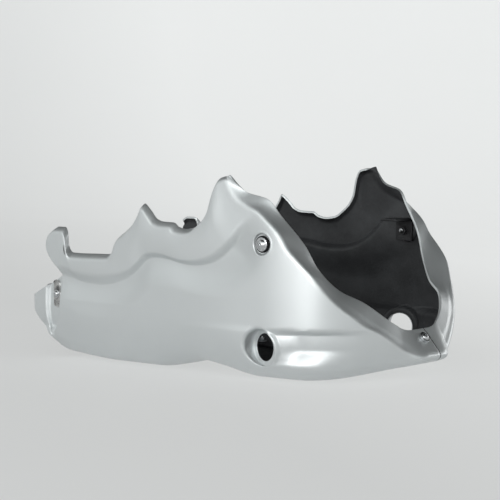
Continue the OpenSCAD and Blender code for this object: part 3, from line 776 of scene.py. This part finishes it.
def plated(name, dark, light, rough_low, rough_high, scale):
    """Plated or polished steel with fine wear and smudges. Where its two shades lie far apart, as on the
    spreader plate, the blotches are painted reflections.
    """
    material, tree, shader, place = finish(name, light, metallic=1, roughness=rough_low)
    smudge_and_sheen = noise(tree, place, scale, detail=4, roughness=0.6)
    clouded(tree, shader, smudge_and_sheen, dark, light, low=0.35, high=0.65)
    tree.links.new(spread(tree, smudge_and_sheen.outputs["Fac"], rough_low, rough_high), shader.inputs["Roughness"])
    scratch = noise(tree, place, scale * 9)
    scratch_bump = bump(tree, scratch.outputs["Fac"], distance=0.05 * MM, strength=0.3)
    tree.links.new(scratch_bump, shader.inputs["Normal"])
    return material


def black_rubber():
    """Black rubber with a fine dull grain."""
    material, tree, shader, place = finish("black_rubber", (0.012, 0.012, 0.013), metallic=0, roughness=0.62)
    shader.inputs["Specular IOR Level"].default_value = 0.15
    grain = noise(tree, place, scale=900, detail=3)
    clouded(tree, shader, grain, dark=(0.005, 0.005, 0.006), light=(0.012, 0.012, 0.013))
    grain_bump = bump(tree, grain.outputs["Fac"], distance=0.1 * MM, strength=0.4)
    tree.links.new(grain_bump, shader.inputs["Normal"])
    return material


def powder_coat():
    """Black powder coat with a fine grain."""
    colour = (0.02, 0.02, 0.022)
    material, tree, shader, place = finish("black_powder_coat", colour, metallic=0.1, roughness=0.5)
    grain = noise(tree, place, scale=700)
    clouded(tree, shader, grain, dark=(0.014, 0.014, 0.016), light=(0.032, 0.032, 0.034))
    tree.links.new(spread(tree, grain.outputs["Fac"], low=0.42, high=0.6), shader.inputs["Roughness"])
    grain_bump = bump(tree, grain.outputs["Fac"], distance=0.25 * MM, strength=0.5)
    tree.links.new(grain_bump, shader.inputs["Normal"])
    return material


LACQUER, INSIDE = silver_lacquer(), raw_inside()
FINISHES = {
    "bright_screws": plated("polished_stainless", dark=(0.5, 0.51, 0.52), light=(0.66, 0.67, 0.68),
                            rough_low=0.16, rough_high=0.3, scale=260),
    "zinc_steel": plated("zinc_plate", dark=(0.42, 0.44, 0.46), light=(0.6, 0.62, 0.64),
                         rough_low=0.3, rough_high=0.5, scale=160),
    # Spreader plate: blotches from near black to light are painted reflections
    "spreader_plate": plated("painted_reflection_plate", dark=(0.16, 0.16, 0.16), light=(0.74, 0.74, 0.73),
                             rough_low=0.16, rough_high=0.42, scale=75),
    "black_rubber": black_rubber(),
    "black_steel": powder_coat(),
}


# Shells

# Rounding of the shells' rims
RIM_ROUND = 0.7
# Breadth and drop of the strips past each half's keel line, from the keel on over the middle
RIGHT_STRIP = [(breadth, 0) for breadth in (9, 4, -1, -5, -LAP_OVER)]
LEFT_STRIP = [(LAP_OVER + 2 * SEAM_GAP + 0.3, 0), (LAP_OVER + 2 * SEAM_GAP, 0.1),
              (LAP_OVER + SEAM_GAP, LAP_DROP), (5, LAP_DROP), (0, LAP_DROP), (-10, LAP_DROP),
              (-TONGUE, LAP_DROP)]
# Only the tongue under the lap lies nearer the middle than this, on the left half: it stays unpainted, and
# its dark face, seen through the seam's gap, also stands as painted shade in the seam
PAINTED_FROM = STRIP_HALF - 3


def strip_lift(i):
    """Direction from the keel and nose strip into the pan."""
    a, b = SKIN[max(0, i - 1), KEEL_ROW], SKIN[min(LAST_COLUMN, i + 1), KEEL_ROW]
    return Vector((-(b.z - a.z), 0, b.x - a.x)).normalized()


def finished_shell(name, node, side, strip):
    """One half of the moulding: a grid bent to the pan's lines, with its strip past the middle."""
    mesh = bmesh.new()
    columns, rows = LAST_COLUMN, KEEL_ROW + len(strip)
    bmesh.ops.create_grid(mesh, x_segments=columns, y_segments=rows, size=1)
    spare = []
    for v in mesh.verts:
        i = round((v.co.x + 1) / 2 * columns)
        j = round((v.co.y + 1) / 2 * rows)
        if j < CREASE_ROW and i < FIRST_BAND:
            spare.append(v)
        elif j <= KEEL_ROW:
            v.co = SKIN[i, j] * MM
        else:
            y, drop = strip[j - KEEL_ROW - 1]
            foot = SKIN[i, KEEL_ROW]
            v.co = (Vector((foot.x, y, foot.z)) + strip_lift(i) * drop) * MM
    bmesh.ops.delete(mesh, geom=spare, context="VERTS")
    set_cup(mesh)
    set_dimple(mesh)
    for v in mesh.verts:
        v.co.y *= side
    bmesh.ops.recalc_face_normals(mesh, faces=mesh.faces[:])
    top = max(mesh.faces, key=lambda f: abs(f.calc_center_median().y))
    if top.normal.y * side < 0:
        bmesh.ops.reverse_faces(mesh, faces=mesh.faces[:])
    for f in mesh.faces:
        f.smooth = True
        # The tongue takes the dark inner finish: unpainted, and painted shade where it shows in the seam
        if side > 0 and f.calc_center_median().y < PAINTED_FROM * MM:
            f.material_index = 1
    data = bpy.data.meshes.new(name)
    mesh.to_mesh(data)
    mesh.free()
    shell = bpy.data.objects.new(name, data)
    bpy.context.scene.collection.objects.link(shell)
    data.materials.append(LACQUER)
    data.materials.append(INSIDE)
    thick = shell.modifiers.new("wall", "SOLIDIFY")
    thick.thickness = WALL * MM
    thick.offset = -1
    thick.use_even_offset = False
    thick.material_offset = 1
    thick.material_offset_rim = 0
    soft = shell.modifiers.new("soft_rim", "BEVEL")
    soft.width = RIM_ROUND * MM
    soft.segments = 2
    soft.limit_method = "ANGLE"
    soft.angle_limit = math.radians(50)
    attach(shell, "root")
    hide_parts(node)


SKIN = half_skin()
finished_shell("right_half", "right_shell", -1, RIGHT_STRIP)
finished_shell("left_half", "left_shell", 1, LEFT_STRIP)

# Fittings carried over from the frame

# Rounding of their edges
EDGE_ROUND = 0.25
slots = {s["node"]: s["material_slot"] for s in frame["record"]["subparts"]}
for node, piece in frame["nodes"].items():
    if slots[node] == "silver_body":
        continue
    piece.data.materials.clear()
    piece.data.materials.append(FINISHES[slots[node]])
    for face in piece.data.polygons:
        face.use_smooth = True
    weld = piece.modifiers.new("weld", "WELD")
    weld.merge_threshold = 0.01 * MM
    edge = piece.modifiers.new("soft_edge", "BEVEL")
    edge.width = EDGE_ROUND * MM
    edge.segments = 2
    edge.limit_method = "ANGLE"
    edge.angle_limit = math.radians(35)


# Camera and studio, in metres
AZIMUTH = math.radians(38)
ELEVATION = math.radians(4.5)
DISTANCE = 3
TARGET = Vector((-0.018, 0, 0.155))
FLOOR_RADIUS = 3.2
SWEEP = 1.2
SWEEP_STEPS = 8


def plain_camera():
    """Camera at the photograph's angle, turned to the target."""
    level = math.cos(ELEVATION)
    back = Vector((math.sin(AZIMUTH) * level, -math.cos(AZIMUTH) * level, math.sin(ELEVATION)))
    camera = bpy.data.objects.new("camera", bpy.data.cameras.new("camera"))
    camera.data.sensor_width = 36
    camera.data.lens = 155.5
    camera.location = TARGET + back * DISTANCE
    camera.rotation_mode = "QUATERNION"
    camera.rotation_quaternion = (-back).to_track_quat("-Z", "Y")
    bpy.context.scene.collection.objects.link(camera)
    bpy.context.scene.camera = camera


def soft_light(name, place, aim, size, power):
    """White area lamp at a place, turned to its aim."""
    lamp = bpy.data.lights.new(name, "AREA")
    lamp.shape = "RECTANGLE"
    lamp.size, lamp.size_y = size
    lamp.energy = power
    holder = bpy.data.objects.new(name, lamp)
    holder.location = place
    holder.rotation_mode = "QUATERNION"
    holder.rotation_quaternion = (Vector(aim) - Vector(place)).to_track_quat("-Z", "Y")
    bpy.context.scene.collection.objects.link(holder)


def pale_floor():
    """Seamless sheet: a floor that sweeps up behind the pan on every side. It glows with painted light, paler
    towards one side, seen by the camera and in the pan's reflections.
    """
    mesh = bmesh.new()
    bmesh.ops.create_circle(mesh, cap_ends=True, segments=96, radius=FLOOR_RADIUS)
    rim = [e for e in mesh.edges if e.is_boundary]
    for n in range(1, SWEEP_STEPS + 1):
        made = bmesh.ops.extrude_edge_only(mesh, edges=rim)["geom"]
        turn = math.radians(90 * n / SWEEP_STEPS)
        height = SWEEP * (1 - math.cos(turn))
        for v in (g for g in made if isinstance(g, bmesh.types.BMVert)):
            direction = Vector((v.co.x, v.co.y, 0)).normalized()
            v.co = direction * (FLOOR_RADIUS + SWEEP * math.sin(turn)) + Vector((0, 0, height))
        rim = [g for g in made if isinstance(g, bmesh.types.BMEdge)
               and all(abs(v.co.z - height) < 1e-5 for v in g.verts)]
    data = bpy.data.meshes.new("floor")
    for f in mesh.faces:
        f.smooth = True
    mesh.to_mesh(data)
    mesh.free()
    floor = bpy.data.objects.new("floor", data)
    bpy.context.scene.collection.objects.link(floor)
    material, tree, shader, place = finish("pale_floor", (0.72, 0.73, 0.74), metallic=0, roughness=0.7)
    shade = noise(tree, place, scale=3)
    clouded(tree, shader, shade, dark=(0.71, 0.72, 0.73), light=(0.74, 0.75, 0.76))
    # Painted light: the sheet glows, paler towards one side, on top of its lit shading
    painted_glow = tree.nodes.new("ShaderNodeEmission")
    painted_glow.inputs["Color"].default_value = (0.72, 0.732, 0.726, 1)
    paler = along(tree, place, (0.36, 0.5, 0))
    glow = spread(tree, paler, low=1, high=1.34, from_low=-0.1, from_high=0.55)
    tree.links.new(glow, painted_glow.inputs["Strength"])
    path = tree.nodes.new("ShaderNodeLightPath")
    seen = spread(tree, path.outputs["Is Camera Ray"], low=0, high=0.72, from_low=0, from_high=1)
    # Painted reflection: the glow also shows in the pan's lacquer
    mirrored = spread(tree, path.outputs["Is Glossy Ray"], low=0, high=0.6, from_low=0, from_high=1)
    mixer = tree.nodes.new("ShaderNodeMixShader")
    tree.links.new(reckon(tree, "MAXIMUM", seen, mirrored), mixer.inputs["Fac"])
    tree.links.new(shader.outputs["BSDF"], mixer.inputs[1])
    tree.links.new(painted_glow.outputs["Emission"], mixer.inputs[2])
    tree.links.new(mixer.outputs["Shader"], tree.nodes["Material Output"].inputs["Surface"])
    data.materials.append(material)


def soft_world():
    """Grey studio: bright low round the horizon, most on the pan's front right, and dark overhead."""
    world = bpy.data.worlds.new("studio")
    bpy.context.scene.world = world
    world.use_nodes = True
    tree = world.node_tree
    way = tree.nodes.new("ShaderNodeTexCoord").outputs["Generated"]
    upward = along(tree, way, (0, 0.4, 1))
    overhead = spread(tree, upward, low=1.06, high=0.05, from_low=0.36, from_high=0.58)
    sideward = along(tree, way, (0.6, -0.8, 0))
    beside = spread(tree, sideward, low=0.66, high=1.38, from_low=0.2, from_high=0.95)
    glow = tree.nodes["Background"]
    glow.inputs["Color"].default_value = (0.96, 1, 0.995, 1)
    tree.links.new(reckon(tree, "MULTIPLY", overhead, beside), glow.inputs["Strength"])
    seen = tree.nodes.new("ShaderNodeBackground")
    seen.inputs["Color"].default_value = (0.8, 0.81, 0.805, 1)
    mixer = tree.nodes.new("ShaderNodeMixShader")
    tree.links.new(tree.nodes.new("ShaderNodeLightPath").outputs["Is Camera Ray"], mixer.inputs["Fac"])
    tree.links.new(glow.outputs["Background"], mixer.inputs[1])
    tree.links.new(seen.outputs["Background"], mixer.inputs[2])
    tree.links.new(mixer.outputs["Shader"], tree.nodes["World Output"].inputs["Surface"])


plain_camera()
pale_floor()
soft_world()
soft_light("key_light", place=(0.8, -2.9, 0.55), aim=(0, 0, 0.12), size=(4, 0.8), power=43)
soft_light("back_light", place=(1.1, 2.7, 0.5), aim=(0, 0, 0.1), size=(2, 0.6), power=7)
soft_light("top_light", place=(-1.5, -1.2, 2), aim=(0, 0, 0.1), size=(1.8, 1.2), power=3)
bpy.context.scene.view_settings.view_transform = "Standard"
